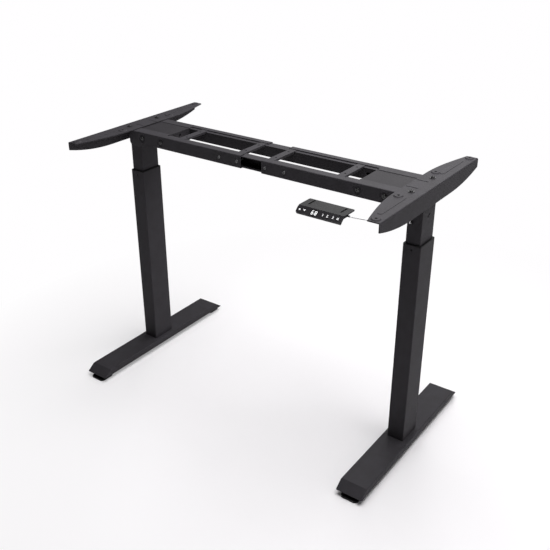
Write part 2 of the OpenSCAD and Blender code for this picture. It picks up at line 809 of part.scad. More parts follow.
// Rail of the middle frame at the back: a channel open outwards, slotted at its ends
// so that it can pass the head bolts
module ladder_rail() {
    height = ladder_top - ladder_bottom;
    slot_from = head_start + bolt_near - width_travel_in - bolt_slot_margin;
    color(black_coat) difference() {
        translate([-ladder_end, window_half, ladder_bottom])
            cube([2 * ladder_end, ladder_out - window_half, height]);
        translate([-ladder_end - over, window_half + ladder_sheet, ladder_bottom + ladder_sheet])
            cube([2 * (ladder_end + over), ladder_out, height - 2 * ladder_sheet]);
        for (s = [-1, 1]) translate([s * slot_from, window_half - over, crossbar_mid - bolt_slot_h / 2])
            mirror([s < 0 ? 1 : 0, 0, 0])
                cube([ladder_end - slot_from + over, ladder_sheet + 2 * over, bolt_slot_h]);
        for (s = [-1, 1]) translate([s * slot_from, window_half - over, crossbar_mid])
            rotate([-90, 0, 0]) cylinder(d = bolt_slot_h, h = ladder_sheet + 2 * over);
    }
}

// Rungs lapped onto the middle frame's rails, each with folded sides and two holes
module rungs() {
    half = window_half + rung_lap;
    fold_half = window_half - cheek_gap;
    color(black_coat) for (x = [-rung_outer_x, -rung_inner_x, rung_inner_x, rung_outer_x])
        translate([x, 0, ladder_top]) difference() {
            union() {
                translate([-rung_width / 2, -half, 0]) cube([rung_width, 2 * half, ladder_sheet]);
                for (s = [-1, 1])
                    translate([s * (rung_width - ladder_sheet) / 2 - ladder_sheet / 2, -fold_half, -rung_fold])
                        cube([ladder_sheet, 2 * fold_half, rung_fold + over]);
            }
            for (s = [-1, 1]) translate([0, s * rung_hole_y, -over])
                cylinder(d = rung_hole_d, h = ladder_sheet + 2 * over);
        }
}

// Control box hung under the right top plate, between the saddle's cheeks
module control_box() {
    top = crossbar_top - plate_recess - plate_t - slide_gap;
    color("#242326") difference() {
        translate([-head_reach + box_gap + box_length / 2, 0, top - box_height]) linear_extrude(box_height)
            rounded_rect(box_length, 2 * box_half_y, box_corner_r);
        for (s = [-1, 1])
            translate([-head_reach + box_gap - over, s * box_half_y / 2, top - box_height / 2])
                rotate([0, 90, 0]) cylinder(d = box_height / 2, h = box_gap);
    }
}

// Places a drawing of the sloping face: X across, Y up the slope, Z out of the face
module on_face() {
    translate([handset_x, -handset_front, handset_top]) rotate([face_angle, 0, 0])
        translate([0, -face_height / 2, 0]) children();
}

// Side view of the handset's body in Y against Z, inset by a wall
module handset_profile() {
    tip = [-handset_front, handset_top] - face_height * [cos(face_angle), sin(face_angle)];
    heel = tip + handset_slab * [sin(face_angle), -cos(face_angle)];
    floor_z = handset_top - handset_body_drop;
    back_y = -handset_front + handset_body_depth;
    polygon([[-handset_front, handset_top], tip, heel,
        [heel[0] + (floor_z - heel[1]) / tan(face_angle), floor_z],
        [back_y, floor_z], [back_y, handset_top]]);
}

// Hollow inside the handset, open to the face through the window cut for the board
module handset_hollow() {
    tip = [-handset_front, handset_top]
        - (face_height - handset_wall) * [cos(face_angle), sin(face_angle)];
    sunk = [sin(face_angle), -cos(face_angle)];
    fore = tip + (face_t + face_ledge) * sunk;
    heel = tip + (handset_slab - handset_wall) * sunk;
    floor_z = handset_top - handset_body_drop + handset_wall;
    roof_z = handset_top - handset_plate;
    back_y = -handset_front + handset_body_depth - handset_wall;
    polygon([fore, heel, [heel[0] + (floor_z - heel[1]) / tan(face_angle), floor_z],
        [back_y, floor_z], [back_y, roof_z],
        [fore[0] + (roof_z - fore[1]) / tan(face_angle), roof_z]]);
}

module handset_housing() {
    body_w = handset_width - 2 * handset_body_in;
    color(dark_plastic) difference() {
        union() {
            translate([handset_x, -handset_front + handset_plate_depth / 2, handset_top - handset_plate])
                linear_extrude(handset_plate)
                    rounded_rect(handset_width, handset_plate_depth, handset_plate);
            along_x(handset_x - body_w / 2, body_w) handset_profile();
            for (s = [-1, 1])
                translate([handset_x + s * handset_slot_x, -handset_front + handset_slot_back,
                    handset_top - handset_plate - slot_rim_depth])
                    linear_extrude(slot_rim_depth + skim) rotate(90)
                        slot_2d(handset_slot_len + 2 * slot_rim_wall, handset_slot_w + 2 * slot_rim_wall);
        }
        along_x(handset_x - body_w / 2 + handset_wall, body_w - 2 * handset_wall)
            handset_hollow();
        on_face() translate([0, 0, -face_t]) linear_extrude(handset_wall + over)
            rounded_rect(handset_width + over, face_height + over, face_corner_r);
        on_face() translate([0, 0, -face_t - face_ledge - skim]) linear_extrude(face_ledge + over)
            rounded_rect(body_w - 2 * handset_wall, board_height + seat_gap, handset_wall);
        for (s = [-1, 1])
            translate([handset_x + s * handset_slot_x, -handset_front + handset_slot_back,
                handset_top - handset_plate - slot_rim_depth - over])
                linear_extrude(handset_plate + slot_rim_depth + 2 * over) rotate(90)
                    slot_2d(handset_slot_len, handset_slot_w);
    }
}

module handset_face() {
    color(lens_black) on_face() translate([0, 0, -face_t + seat_gap]) difference() {
        linear_extrude(face_t)
            rounded_rect(handset_width - face_margin, face_height - face_margin, face_corner_r);
        for (x = button_x) translate([x, 0, -over])
            cylinder(d = button_d + 2 * slide_gap, h = face_t + 2 * over);
        translate([display_x, 0, -over]) linear_extrude(face_t + 2 * over)
            square([window_w, window_h], center = true);
    }
}

module handset_display() {
    color("#16181c") on_face() translate([display_x, 0, -face_t + seat_gap])
        linear_extrude(lens_t)
            square([window_w - 2 * seat_gap, window_h - 2 * seat_gap], center = true);
}

module handset_button(x) {
    color(lens_black) on_face() translate([x, 0, 0]) {
        translate([0, 0, -face_t]) cylinder(d = button_d, h = face_t + button_rise);
        translate([0, 0, -face_t - button_flange_t]) cylinder(d = button_flange_d, h = button_flange_t);
    }
}

module handset_board() {
    z1 = -face_t - button_flange_t - button_travel - slide_gap;
    color("#1f5134") on_face() translate([0, 0, z1 - board_t]) linear_extrude(board_t)
        square([handset_width - 2 * (handset_body_in + board_margin), board_height], center = true);
}

module handset_strain_relief() {
    color(dark_plastic)
        translate([relief_x, -handset_front + relief_back, handset_top - relief_below])
            rotate([0, 90, 0]) difference() {
                cylinder(d1 = relief_base_d, d2 = relief_tip_d, h = relief_length);
                translate([0, 0, over]) cylinder(d = cable_d + 2 * slide_gap, h = relief_length);
                for (i = [1:3]) translate([0, 0, i * relief_length / 4])
                    rotate_extrude() translate([relief_tip_d / 2 + (relief_base_d - relief_tip_d) / 4, 0])
                        square([relief_base_d, relief_length * relief_groove_share]);
            }
}
relief_x = handset_x + handset_width / 2 - handset_body_in;

// Smooth curve through the route's points, and the frames that carry the round section
function blend(a, b, c, d, t) = 0.5 * (2 * b + (c - a) * t + (2 * a - 5 * b + 4 * c - d) * t * t
    + (3 * b - a - 3 * c + d) * t * t * t);
function unit(v) = v / norm(v);
function curve(p, n) = let (last = len(p) - 1) concat(
    [for (i = [0:last - 1], j = [0:n - 1])
        blend(p[max(i - 1, 0)], p[i], p[i + 1], p[min(i + 2, last)], j / n)], [p[last]]);
function tangents(p) = [for (i = [0:len(p) - 1])
    unit(p[min(i + 1, len(p) - 1)] - p[max(i - 1, 0)])];
function carried(t, i, v) = i == len(t) ? [] :
    let (w = unit(v - (v * t[i]) * t[i])) concat([w], carried(t, i + 1, w));

// Round tube swept along the points of a route
module swept_tube(p, radius, sides) {
    t = tangents(p);
    side_v = carried(t, 0, [0, 0, 1]);
    rings = len(p);
    points = [for (i = [0:rings - 1], k = [0:sides - 1]) let (a = 360 * k / sides)
        p[i] + radius * (cos(a) * side_v[i] + sin(a) * cross(t[i], side_v[i]))];
    skin = [for (i = [0:rings - 2], k = [0:sides - 1]) let (a = i * sides + k,
        b = i * sides + (k + 1) % sides) each [[a, a + sides, b], [b, a + sides, b + sides]]];
    caps = [[for (k = [0:sides - 1]) k], [for (k = [sides - 1:-1:0]) (rings - 1) * sides + k]];
    polyhedron(points, concat(skin, caps), convexity = 6);
}

module handset_cable() {
    route = [for (q = cable_route) [q[0] + column_x, q[1], q[2] + crossbar_top]];
    color(cable_grey) swept_tube(curve(route, cable_steps), cable_d / 2, cable_sides);
}

// Rubber grommet in the front of the right inner tube
module cable_grommet() {
    flange_t = inner_wall;
    color(dark_plastic)
        translate([column_x - cable_hole_in, -inner_depth / 2 - flange_t, crossbar_bottom - cable_hole_below])
            rotate([-90, 0, 0]) difference() {
                union() {
                    cylinder(d = grommet_hole_d + 2 * flange_t, h = flange_t - seat_gap / 2);
                    cylinder(d = grommet_hole_d - 2 * seat_gap, h = flange_t + inner_wall + over);
                }
                translate([0, 0, -over])
                    cylinder(d = cable_d + 2 * slide_gap, h = flange_t + inner_wall + 3 * over);
            }
}

// Clips that hold the cable under the bracket's plate
module cable_clips() {
    route_x = column_x + cable_route[11][0];
    route_z = crossbar_top + cable_route[11][2];
    low = route_z - cable_d / 2 - clip_below;
    color(dark_plastic) for (y = clip_y) difference() {
        translate([route_x - clip_width / 2, y - clip_length / 2, low])
            cube([clip_width, clip_length, crossbar_top - seat_gap / 2 - low]);
        translate([route_x, y - clip_length / 2 - over, route_z]) rotate([-90, 0, 0])
            cylinder(d = cable_d + 2 * clip_bore_gap, h = clip_length + 2 * over);
    }
}

// Puts a piece of one column where that column stands, and flips it for the left
module column_piece(side) {
    on_side(side) translate([column_x, 0, 0]) children();
}

for (s = [-1, 1]) {
    name = s < 0 ? "left_" : "right_";
    column_piece(s) foot();
    column_piece(s) foot_screws();
    column_piece(s) translate([0, -leveller_y, 0]) leveller();
    column_piece(s) translate([0, leveller_y, 0]) leveller();
    column_piece(s) outer_tube();
    column_piece(s) collar();
    column_piece(s) nut_tube();
    column_piece(s) spindle_nut();
    column_piece(s) inner_tube(s > 0);
    column_piece(s) glide_shoe();
    column_piece(s) spindle();
    column_piece(s) gearbox();
    column_piece(s) motor();
    column_piece(s) column_head();
    run = s < 0 ? left_lobe_run : right_lobe_run;
    flat = s < 0 ? left_lobe_flat : right_lobe_flat;
    on_side(s) outer_rail(run, flat);
    on_side(s) mirror([0, 1, 0]) outer_rail(run, flat);
    column_piece(s) top_plate();
    column_piece(s) side_bracket();
    column_piece(s) bracket_screws();
    column_piece(s) head_bolts();
    on_side(s) lock_screws();
}
ladder_rail();  // middle_rear_rail
mirror([0, 1, 0]) ladder_rail();  // middle_front_rail
rungs();  // middle_rungs
column_piece(1) control_box();
handset_housing();
handset_face();
handset_display();
handset_board();
for (i = [0:len(button_x) - 1])
    handset_button(button_x[i]);
handset_strain_relief();
handset_cable();
cable_grommet();
cable_clips();
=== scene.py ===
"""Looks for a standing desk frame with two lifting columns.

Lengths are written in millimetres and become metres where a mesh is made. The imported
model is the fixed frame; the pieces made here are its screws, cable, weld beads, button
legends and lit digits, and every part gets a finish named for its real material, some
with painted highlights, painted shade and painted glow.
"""
import json
import math

import bmesh
import bpy
import numpy as np
from mathutils import Matrix, Vector


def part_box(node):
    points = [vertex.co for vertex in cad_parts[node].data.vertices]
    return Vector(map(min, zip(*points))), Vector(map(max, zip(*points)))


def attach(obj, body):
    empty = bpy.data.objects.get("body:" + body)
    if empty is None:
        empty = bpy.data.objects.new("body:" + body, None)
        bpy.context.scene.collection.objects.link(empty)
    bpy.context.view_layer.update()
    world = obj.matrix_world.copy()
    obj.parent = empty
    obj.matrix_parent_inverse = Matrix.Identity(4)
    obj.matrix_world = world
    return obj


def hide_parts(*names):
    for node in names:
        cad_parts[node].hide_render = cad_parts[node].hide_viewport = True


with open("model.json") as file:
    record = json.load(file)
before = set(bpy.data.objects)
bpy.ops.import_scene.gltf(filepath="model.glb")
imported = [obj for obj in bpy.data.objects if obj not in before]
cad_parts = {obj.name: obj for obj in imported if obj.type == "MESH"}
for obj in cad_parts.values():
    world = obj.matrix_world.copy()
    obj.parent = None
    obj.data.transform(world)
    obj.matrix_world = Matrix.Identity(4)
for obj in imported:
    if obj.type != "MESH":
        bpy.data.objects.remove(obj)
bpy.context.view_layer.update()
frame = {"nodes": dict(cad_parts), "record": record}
nodes = frame["nodes"]
MM = 0.001
SIDES = {"left": -1, "right": 1}

# Camera at the photograph's viewing angle

lens = bpy.data.cameras.new("camera")
lens.lens, lens.sensor_width, lens.shift_y = 50.845, 36, -0.00415
camera = bpy.data.objects.new("camera", lens)
camera.location = (1.22132, -1.66714, 1.45766)
camera.rotation_euler = [math.radians(a) for a in (63.056, 0, 35.624)]
bpy.context.scene.collection.objects.link(camera)
bpy.context.scene.camera = camera


# Finishes

def linear(code):
    """An sRGB hex colour as linear red, green, blue and full alpha."""
    share = np.array([int(code[i:i + 2], 16) for i in (1, 3, 5)]) / 255
    return (*np.where(share <= 0.04045, share / 12.92, ((share + 0.055) / 1.055) ** 2.4), 1)


def add(tree, kind, inputs=(), **settings):
    """One shader node with its settings; each input is a value, a socket or a node to link."""
    node = tree.nodes.new("ShaderNode" + kind)
    for key, value in settings.items():
        setattr(node, key, value)
    for key, value in dict(inputs).items():
        if isinstance(value, bpy.types.Node):
            value = value.outputs[0]
        if isinstance(value, bpy.types.NodeSocket):
            tree.links.new(value, node.inputs[key])
        else:
            node.inputs[key].default_value = value
    return node


def blank(name):
    """An empty material and its node tree."""
    material = bpy.data.materials.new(name)
    material.use_nodes = True
    material.node_tree.nodes.clear()
    return material, material.node_tree


def noise(tree, size, detail, stretch=(1, 1, 1)):
    """Noise whose lumps are size millimetres across, longer along an axis by its stretch."""
    place = add(tree, "TexCoord").outputs["Object"]
    if stretch != (1, 1, 1):
        place = add(tree, "Mapping", {"Vector": place, "Scale": [1 / s for s in stretch]})
    return add(tree, "TexNoise", {"Vector": place, "Scale": 1 / (size * MM), "Detail": detail})


def spread(tree, source, low, high, start=0.3, end=0.7):
    """Turns a value between start and end into one between low and high."""
    return add(tree, "MapRange", {"Value": source, "From Min": start, "From Max": end,
                                  "To Min": low, "To Max": high})


MIX_A, MIX_B, MIX_RESULT = 6, 7, 2  # the colour sockets of Blender's Mix node


def shade(tree, factor, first, second):
    """Colour between two, each of them a hex code or a socket."""
    first, second = (linear(c) if isinstance(c, str) else c for c in (first, second))
    return add(tree, "Mix", {"Factor": factor, MIX_A: first, MIX_B: second},
               data_type="RGBA").outputs[MIX_RESULT]


def soft_edges(tree, radius):
    """Normal that rounds sharp edges by a radius in millimetres."""
    return add(tree, "Bevel", {"Radius": radius * MM}, samples=6)


def edge_highlight_mask(tree, rounded, strength):
    """Painted highlight mask: zero on flat faces, rising to the strength where the rounded normal
    leaves the true one.
    """
    flat = add(tree, "NewGeometry").outputs["Normal"]
    same = add(tree, "VectorMath", {0: rounded, 1: flat}, operation="DOT_PRODUCT").outputs["Value"]
    return spread(tree, same, 0.0, strength, 0.995, 0.75)


def bump(tree, height, depth, normal):
    """Normal of a surface raised by a height of up to depth millimetres over another normal."""
    return add(tree, "Bump", {"Height": height, "Distance": depth * MM, "Strength": 1.0,
                              "Normal": normal})


def close(tree, **inputs):
    """Principled surface and the material's output."""
    names = {"color": "Base Color", "roughness": "Roughness", "metallic": "Metallic",
             "ior": "IOR", "specular": "Specular IOR Level", "normal": "Normal",
             "glow": "Emission Color", "glow_strength": "Emission Strength"}
    surface = add(tree, "BsdfPrincipled", {names[k]: v for k, v in inputs.items()})
    add(tree, "OutputMaterial", {"Surface": surface})


def powder_coat(name, coat, edge_highlight, specular, painted_web_shade=None):
    """Polyester powder baked on steel: satin black, faintly mottled where the film varies,
    with an orange-peel skin, and a painted highlight of a lighter colour along folded edges.
    When a last colour is given, it goes on the faces that look along Y: painted shade for the
    recessed inner faces of the sliding rails."""
    material, tree = blank(name)
    rounded = soft_edges(tree, radius=0.9)
    cloud = noise(tree, size=38, detail=3)
    peel = noise(tree, size=3.2, detail=2)  # real peel is about 1 mm; coarser so that it shows
    tone = shade(tree, spread(tree, cloud, 0, 1), *coat)
    # Painted highlight: the lighter edge colour goes on along rounded edges, where light would
    # catch them
    tone = shade(tree, edge_highlight_mask(tree, rounded, strength=0.8), tone, edge_highlight)
    # Painted shade: faces that look along Y take the given darker colour
    if painted_web_shade:
        normal = add(tree, "NewGeometry").outputs["Normal"]
        across = add(tree, "SeparateXYZ", {0: normal}).outputs["Y"]
        tone = shade(tree, add(tree, "Math", {0: across}, operation="ABSOLUTE"), tone, painted_web_shade)
    close(tree, color=tone, roughness=spread(tree, peel, 0.55, 0.65), ior=1.5, specular=specular,
          normal=bump(tree, peel, depth=0.02, normal=rounded))
    return material


def bare_steel(name, light, dark, grain, roughness):
    """Turned or drawn steel without paint: bright metal with fine lines along its length."""
    material, tree = blank(name)
    rounded = soft_edges(tree, radius=0.5)
    lines = noise(tree, grain, detail=4, stretch=(1, 1, 14))
    close(tree, color=shade(tree, spread(tree, lines, 0, 1), dark, light), metallic=1.0,
          roughness=spread(tree, lines, roughness - 0.06, roughness + 0.08),
          normal=bump(tree, lines, depth=0.01, normal=rounded))
    return material


def moulded(name, low, high, roughness, grain=1.6, depth=0.02, specular=0.35):
    """Plastic or rubber with the fine spark texture of its mould and soft edges. Steel with a
    black conversion coat has such a skin too, so the dark screws take it with a finer grain."""
    material, tree = blank(name)
    rounded = soft_edges(tree, radius=0.6)
    spark = noise(tree, grain, detail=3)
    flow = noise(tree, size=22, detail=2)
    close(tree, color=shade(tree, spread(tree, flow, 0, 1), low, high), ior=1.46,
          specular=specular, roughness=spread(tree, spark, roughness - 0.05, roughness + 0.07),
          normal=bump(tree, spark, depth, rounded))
    return material


def glossy_panel(name, low, high, roughness):
    """Black acrylic: a deep gloss with faint wiping marks that change only its roughness."""
    material, tree = blank(name)
    rounded = soft_edges(tree, radius=0.4)
    wipes = noise(tree, size=9, detail=3, stretch=(4, 1, 1))
    close(tree, color=shade(tree, spread(tree, wipes, 0, 1), low, high), ior=1.49, specular=0.3,
          roughness=spread(tree, wipes, roughness, roughness + 0.12), normal=rounded)
    return material


def circuit_board(name):
    """Green solder mask over copper tracks on a glass-fibre board."""
    material, tree = blank(name)
    place = add(tree, "TexCoord").outputs["Object"]
    tracks = add(tree, "TexBrick", {
        "Vector": place, "Scale": 1.0, "Color1": linear("#1b4a2e"), "Color2": linear("#235c39"),
        "Mortar": linear("#12351f"), "Mortar Size": 0.4 * MM, "Brick Width": 6 * MM,
        "Row Height": 1.8 * MM})
    close(tree, color=tracks.outputs["Color"], roughness=0.3, ior=1.5, specular=0.5)
    return material


def cable_sheath(name):
    """Light grey PVC drawn over the cores: smooth, with a faint sheen along its length."""
    material, tree = blank(name)
    along = add(tree, "UVMap").outputs["UV"]
    drawn = add(tree, "TexNoise", {
        "Vector": add(tree, "Mapping", {"Vector": along, "Scale": (3, 40, 1)}), "Scale": 1.0})
    close(tree, color=shade(tree, spread(tree, drawn, 0, 1), "#cfced0", "#dddcde"), ior=1.53,
          specular=0.4, roughness=spread(tree, drawn, 0.38, 0.5))
    return material


def glowing_print(name, colour, glow):
    """White print that glows by its emission: the display digits' own light, and on the button
    legends a painted glow, as they are only printed; a plain bright layer with a slightly uneven
    edge tone.
    """
    material, tree = blank(name)
    ink = spread(tree, noise(tree, size=1.2, detail=1), 0, 1)
    close(tree, color=shade(tree, ink, *colour), roughness=0.5, specular=0.3,
          glow=linear(colour[1]), glow_strength=glow)
    return material


# The single colour after the coat's pair is the painted highlight that powder_coat lays along
# edges
SATIN_BLACK, EDGE_HIGHLIGHT = ("#343235", "#38363a"), "#4b494d"
finishes = {
    "black_steel": powder_coat("satin_black_powder_coat", SATIN_BLACK, EDGE_HIGHLIGHT, 0.11),
    # The plate coat's last colour is its painted edge highlight
    "plate_steel": powder_coat("satin_black_plate_coat", ("#2a282b", "#2e2c2f"), "#444246", 0.1),
    "bare_steel": bare_steel("turned_steel", "#b4b4b6", "#8e8e91", 0.6, 0.3),
    "zinc_screws": bare_steel("zinc_plated_steel", "#c3c5c8", "#9fa2a6", 1.0, 0.32),
    "black_screws": moulded("black_oxide_steel", "#0f0e10", "#161517", 0.27, 1.2, 0.01, 0.8),
    "black_plastic": moulded("black_glass_filled_nylon", "#1c1b1d", "#222124", 0.5),
    "white_plastic": moulded("natural_acetal", "#d6d4cc", "#e2e0d9", 0.4),
    "gloss_face": glossy_panel("black_acrylic_panel", "#262427", "#2b292c", 0.22),
    "display_lens": glossy_panel("smoked_display_lens", "#08080a", "#0c0c0f", 0.08),
    "board_green": circuit_board("green_circuit_board"),
    "grey_cable": cable_sheath("grey_pvc_sheath"),
    "black_rubber": moulded("black_moulded_rubber", "#19181a", "#1f1e20", 0.62, 1.2, 0.03, 0.25),
}
# The button legends' glow is painted light: they are printed, not lit
legend_white_painted_glow = glowing_print("white_legend_painted_glow", ("#dededf", "#fafafb"), 0.3)
digit_white = glowing_print("lit_digit", ("#eef0f2", "#ffffff"), 0.6)

lock_steel = moulded("blued_steel_lock_screws", "#3a393c", "#4e4d50", 0.22, 1.0, 0.01, 1.0)
black_zinc = moulded("black_zinc_plated_steel", "#242325", "#2b2a2c", 0.42, 1.2, 0.01, 0.3)
# Motors and gearboxes: a black phosphate finish, made near black partly as painted shade, so that
# the slot in the column reads dark
phosphated_and_painted_shade = bare_steel("phosphated_steel_and_painted_shade", "#141415", "#0c0c0d", 0.6, 0.5)
guide_nylon = moulded("black_guide_nylon", "#0c0b0d", "#121113", 0.55, 1.6, 0.02, 0.15)
# Its last colour is painted shade on faces that look along Y, the recessed inner faces of the
# sliding rails
rail_coat_with_painted_web_shade = powder_coat("satin_black_rail_coat_painted_web_shade", SATIN_BLACK, EDGE_HIGHLIGHT, 0.11, "#272528")
handset_shell = moulded("black_handset_shell", "#141315", "#19181a", 0.55, 1.6, 0.02, 0.2)

# Nodes whose finish differs from the others of their slot: the rails' coat adds painted shade on
# faces that look along Y, and the motors' near black is partly painted shade inside the columns
own_finish = {"middle_front_rail": rail_coat_with_painted_web_shade, "middle_rear_rail": rail_coat_with_painted_web_shade,
              "handset_housing": handset_shell}
for side in SIDES:
    own_finish.update({side + "_motor": phosphated_and_painted_shade, side + "_gearbox": phosphated_and_painted_shade,
                       side + "_collar": guide_nylon})
for row in frame["record"]["subparts"]:
    for slot in nodes[row["node"]].material_slots:
        slot.material = own_finish.get(row["node"], finishes[row["material_slot"]])


# Surfaces

def sheet(points):
    """Quads over a grid of points[ring, place in ring], with each ring's ends joined."""
    rings, around = points.shape[:2]
    at = np.arange(rings * around).reshape(rings, around)
    at = np.concatenate([at, at[:, :1]], 1)
    quads = np.stack([at[:-1, :-1], at[:-1, 1:], at[1:, 1:], at[1:, :-1]], -1)
    return points.reshape(-1, 3), quads.reshape(-1, 4).tolist()


def turned(profile, around=36):
    """Surface round Z. Ring u of the profile has a radius r, a height z and a share h of
    hexagon: at the angle v its radius is r (1 - h + h / cos w), where w is the angle from
    the middle of the nearest flat, so that r is half the width across the flats."""
    r, z, h = (np.array(c, float)[:, None] for c in zip(*profile))
    v = np.arange(around) * 2 * np.pi / around
    radius = r * (1 - h + h / np.cos(v % (np.pi / 3) - np.pi / 6))
    return sheet(np.stack([radius * np.cos(v), radius * np.sin(v), z + 0 * v], -1))


def tube(path, radius, around):
    """Round tube: point(i, v) = path(i) + radius(i) (cos v n(i) + sin v b(i)), where n and b
    are carried along the path without twist; both ends close in a point."""
    path = np.asarray(path, float)
    ahead = np.gradient(path, axis=0)
    ahead /= np.linalg.norm(ahead, axis=1, keepdims=True)
    n = np.empty_like(path)
    side = np.array([0.0, 0.0, 1.0]) if abs(ahead[0][2]) < 0.9 else np.array([1.0, 0.0, 0.0])
    for i, t in enumerate(ahead):
        side = side - (side @ t) * t
        side /= np.linalg.norm(side)
        n[i] = side
    b = np.cross(ahead, n)
    radius = np.broadcast_to(radius, len(path)).astype(float).copy()
    keep = np.r_[0, np.arange(len(path)), len(path) - 1]
    radius = radius[keep]
    radius[[0, -1]] = 0
    v = np.arange(around)[:, None] * 2 * np.pi / around
    ring = np.cos(v)[None] * n[keep][:, None] + np.sin(v)[None] * b[keep][:, None]
    return sheet(path[keep][:, None] + radius[:, None, None] * ring)


def prism(outline, low, high):
    """Flat piece: a closed outline in X and Y, between two heights."""
    outline = np.asarray(outline, float)
    count = len(outline)
    rings = np.stack([np.c_[outline, np.full(count, z)] for z in (low, high)])
    points, faces = sheet(rings)
    return points, faces + [list(range(count))[::-1], list(range(count, 2 * count))]


def placed(part, turn=None, shift=(0, 0, 0), matrix=None):
    """A part turned by a 3 x 3 matrix and shifted, or moved by a 4 x 4 matrix."""
    points, faces = part
    if matrix is not None:
        matrix = np.array(matrix)
        turn, shift = matrix[:3, :3], matrix[:3, 3]
    if turn is not None:
        points = points @ np.asarray(turn, float).T
    return points + np.asarray(shift, float), faces


def piece(name, parts, material, body, replaces=(), sharp=35):
    """One object of several parts, from millimetres to metres, closed and facing outwards."""
    points = np.concatenate([p for p, f in parts]) * MM
    starts = np.cumsum([0] + [len(p) for p, f in parts[:-1]])
    faces = [[i + start for i in face] for start, (p, f) in zip(starts, parts) for face in f]
    mesh = bpy.data.meshes.new(name)
    mesh.from_pydata(points.tolist(), [], faces)
    work = bmesh.new()
    work.from_mesh(mesh)
    bmesh.ops.remove_doubles(work, verts=work.verts, dist=1e-7)
    bmesh.ops.recalc_face_normals(work, faces=work.faces)
    work.to_mesh(mesh)
    work.free()
    mesh.polygons.foreach_set("use_smooth", np.ones(len(mesh.polygons), bool))
    mesh.set_sharp_from_angle(angle=math.radians(sharp))
    mesh.materials.append(material)
    made = bpy.data.objects.new(name, mesh)
    bpy.context.scene.collection.objects.link(made)
    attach(made, body)
    if replaces:
        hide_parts(*replaces)
    return made


# Handset cable, from the strain relief under the bracket and into the right column

COLUMN_X, BAR_TOP, BAR_UNDER = 475, 785, 748  # column's middle, top and underside of the bar
CABLE_D = 3.0
# Measured from the middle of the column at the bar's top: out of the strain relief, round
# into the bracket, along under it through both clips, then down to the hole in the column
CABLE_ROUTE = np.array([
    [-56, -265, -2.4], [-46, -265, -2.4], [-38, -264.4, -2.4], [-29, -262.8, -2.4],
    [-20, -260.8, -2.6], [-11, -258, -3], [-3, -253.6, -3.8], [3, -247, -4.8],
    [7, -238.6, -5.8], [9, -229, -6.5], [10, -217, -7], [10, -204, -7],
    [10, -186, -7], [10, -168, -7], [10, -150, -7], [10, -134, -8],
    [9.5, -118, -12], [8.5, -104, -19], [7, -91, -29], [4.5, -79, -41],
    [1.5, -68, -54], [-2, -58.5, -67], [-5.5, -51, -78], [-8, -45.5, -84.5],
    [-9, -40, -87], [-9, -33, -87]], float) + [COLUMN_X, 0, BAR_TOP]


def smooth_route(points, steps):
    """Catmull-Rom curve in a number of steps between two points b and c, a before, d after:
    0.5 (2b + (c - a) t + (2a - 5b + 4c - d) t^2 + (3b - a - 3c + d) t^3)."""
    padded = np.concatenate([points[:1], points, points[-1:]])
    a, b, c, d = (padded[i:len(padded) - 3 + i, None] for i in range(4))
    t = (np.arange(steps) / steps)[None, :, None]
    curve = 0.5 * (2 * b + (c - a) * t + (2 * a - 5 * b + 4 * c - d) * t ** 2
                   + (3 * b - a - 3 * c + d) * t ** 3)
    return np.concatenate([curve.reshape(-1, 3), points[-1:]])


route = smooth_route(CABLE_ROUTE, steps=4)
cable = piece("handset_lead", [tube(route, CABLE_D / 2, around=16)], finishes["grey_cable"],
              "right_head", ["handset_cable"], sharp=60)
steps_along = np.linalg.norm(np.diff(route, axis=0), axis=1)
travelled = np.concatenate([[0], np.cumsum(steps_along)]) * MM
uv = cable.data.uv_layers.new(name="along")
corner = np.empty(len(cable.data.loops), int)
cable.data.loops.foreach_get("vertex_index", corner)
skin = np.array([v.co for v in cable.data.vertices]) / MM
nearest = np.array([np.argmin(((route - point) ** 2).sum(1)) for point in skin])
turn_round = np.arctan2(*(skin - route[nearest])[:, [2, 0]].T) / (2 * np.pi)
uv.data.foreach_set("uv", np.c_[travelled[nearest], turn_round][corner].ravel())


# Screws and bolts

THREAD_DEPTH = 0.55  # share of the pitch
PLAIN_SHANK, TIP_TAPER, EDGE_BREAK = 0.8, 0.6, 0.2


def screw(head_d, head_h, shank_d, length, key, dome, pitch=1.0):
    """Button-head socket screw along Z, its head's underside at zero. The profile runs from
    the socket's floor up its hexagonal wall, over a domed head, and down a shank whose thread
    is drawn as rings. At the share q of the head's radius the dome has fallen by its height
    times 1 - sqrt(1 - q q), as an ellipse does."""
    head_r, shank_r, flat_r = head_d / 2, shank_d / 2, key / 2
    socket_floor, lead_in, drill_cone = 0.38 * head_h, 0.35, 0.3
    crown = np.linspace(flat_r + lead_in, head_r - 0.15, 7)
    fall = dome * (1 - np.sqrt(1 - (crown / head_r) ** 2))
    profile = [(0, socket_floor - drill_cone, 1), (0.7 * flat_r, socket_floor, 1),
               (flat_r, socket_floor, 1), (flat_r, head_h - lead_in, 1)]
    profile += [(r, head_h - f, 0) for r, f in zip(crown, fall)]
    profile += [(head_r, head_h - dome, 0), (head_r, EDGE_BREAK, 0), (head_r - EDGE_BREAK, 0, 0),
                (shank_r, 0, 0), (shank_r, -PLAIN_SHANK, 0)]
    turns = max(int((length - 2 * PLAIN_SHANK) / pitch), 1)
    profile += [(shank_r - THREAD_DEPTH * pitch * (i % 2), -PLAIN_SHANK - i * pitch / 2, 0)
                for i in range(2 * turns)]
    return turned(profile + [(shank_r - TIP_TAPER, -length, 0), (0, -length, 0)])


def ring(inner_d, outer_d, low, high, hexagon=0):
    """Washer, or nut with its hexagon at 1: a closed section turned round Z, chamfered."""
    inner, outer, chamfer = inner_d / 2, outer_d / 2, 0.3
    return turned([(inner, low, 0), (outer - chamfer, low, hexagon),
                   (outer, low + chamfer, hexagon), (outer, high - chamfer, hexagon),
                   (outer - chamfer, high, hexagon), (inner, high, 0), (inner, low, 0)])


